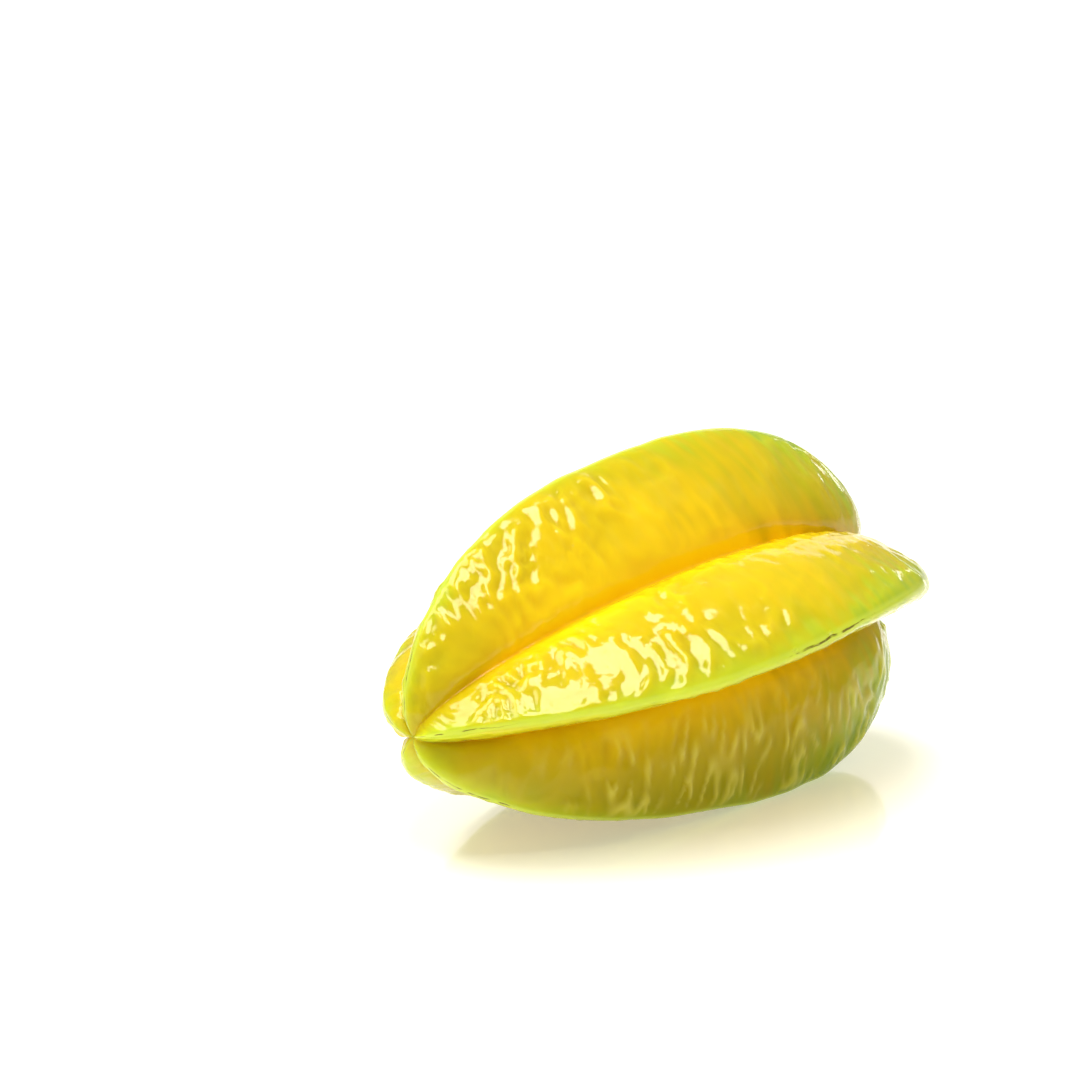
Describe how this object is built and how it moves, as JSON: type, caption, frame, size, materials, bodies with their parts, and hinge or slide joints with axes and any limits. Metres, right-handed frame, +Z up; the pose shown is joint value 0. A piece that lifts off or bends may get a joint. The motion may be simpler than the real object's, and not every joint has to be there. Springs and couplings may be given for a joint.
{
  "type": "star fruit",
  "caption": "Whole ripe star fruit (carambola) lying on two of its ribs, with deep valleys between sharp-edged ribs and a dry stalk in the stem pit.",
  "frame": {"origin": "middle of the object's bounding box in plan, on the surface that the fruit lies on", "axes": "+X along the fruit from its blossom end to its stem end, +Z up, -Y towards the side whose rib stands out to the front; the rib on top points up"},
  "size_m": [0.106, 0.0674, 0.058],
  "materials": {
    "fruit_skin": "thin waxy fruit skin, glossy and slightly translucent, deep yellow in the valleys, yellow on the flanks and green along the crests",
    "dry_stalk": "dry brown plant fibre, matt"
  },
  "bodies": {
    "root": {"fruit": "fruit_skin", "stem_stub": "dry_stalk"}
  },
  "joints": []
}
